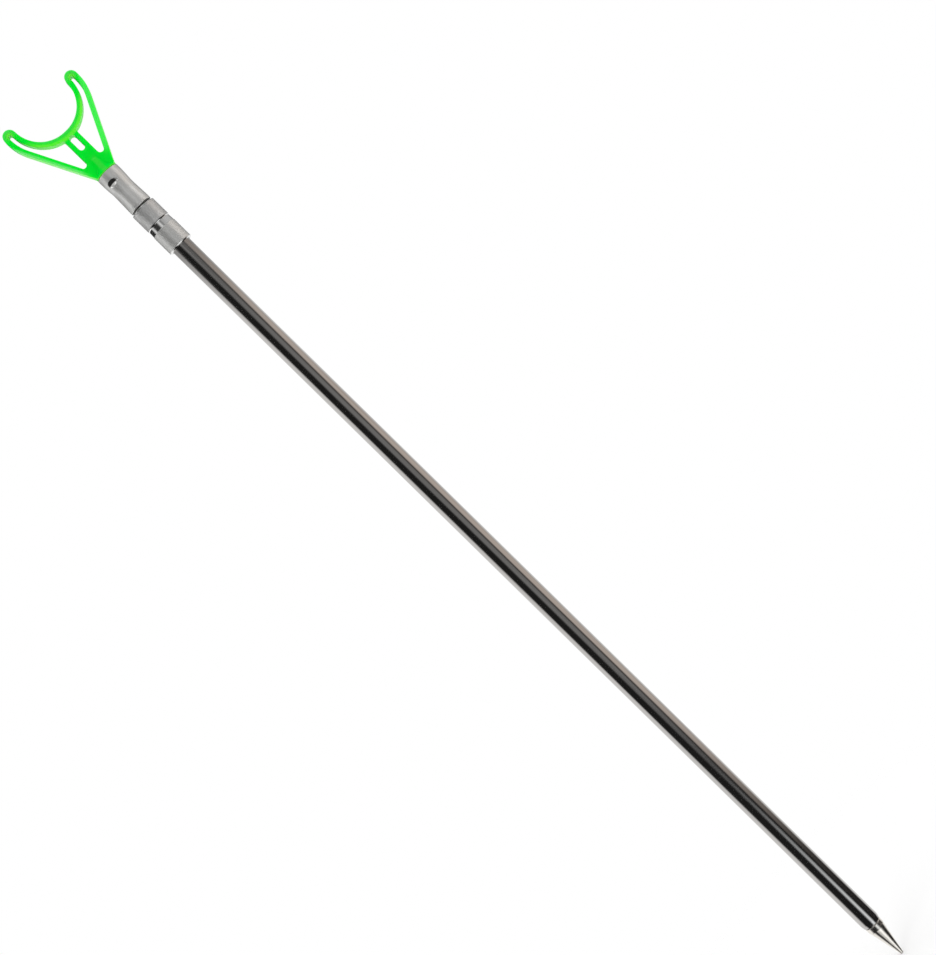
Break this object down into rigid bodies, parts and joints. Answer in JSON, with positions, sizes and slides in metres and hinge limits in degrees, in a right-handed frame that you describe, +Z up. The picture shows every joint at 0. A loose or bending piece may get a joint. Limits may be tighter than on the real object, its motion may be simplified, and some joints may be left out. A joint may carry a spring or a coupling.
{
  "type": "fishing rod rest",
  "caption": "Telescopic fishing rod rest: a moulded U-shaped fork head on a slim inner tube that slides and turns in an outer tube with a ground spike, held by a twist lock.",
  "frame": {"origin": "the point of the ground spike", "axes": "+Z up the stick, +X along the fork from prong to prong, +Y through the fork where the rod lies"},
  "size_m": [0.0644, 0.0182, 0.7967],
  "materials": {
    "bright_steel": "polished, faintly drawn along the tube",
    "satin_aluminium": "satin turned, finely knurled on the grips",
    "green_plastic": "glossy moulded, bright green",
    "white_nylon": "plain moulded nylon"
  },
  "bodies": {
    "outer_stage": {"outer_tube": "bright_steel", "lock_body": "satin_aluminium", "ground_spike": "bright_steel"},
    "guide_stage": {"guide_bush": "white_nylon"},
    "inner_stage": {"inner_tube": "bright_steel", "tube_plug": "white_nylon", "top_sleeve": "satin_aluminium", "rest_head": "green_plastic"},
    "collet_stage": {"clamp_collet": "white_nylon"},
    "nut_stage": {"lock_nut": "satin_aluminium"}
  },
  "joints": [
    {"name": "telescope_slide", "type": "slide", "parent": "outer_stage", "child": "guide_stage", "axis": [0, 0, 1], "range_m": [0, 0.6]},
    {"name": "inner_tube_turn", "type": "hinge", "parent": "guide_stage", "child": "inner_stage", "pos_m": [0, 0, 0.0722], "axis": [0, 0, 1], "continuous": true},
    {"name": "collet_travel", "type": "slide", "parent": "outer_stage", "child": "collet_stage", "axis": [0, 0, 1], "range_m": [0, 0.0005]},
    {"name": "lock_nut_turn", "type": "hinge", "parent": "collet_stage", "child": "nut_stage", "pos_m": [0, 0, 0.695], "axis": [0, 0, 1], "range_deg": [0, 180]}
  ],
  "couplings": [
    {"joint": "collet_travel", "follows": "lock_nut_turn", "m_per_rad": 0.000159}
  ]
}
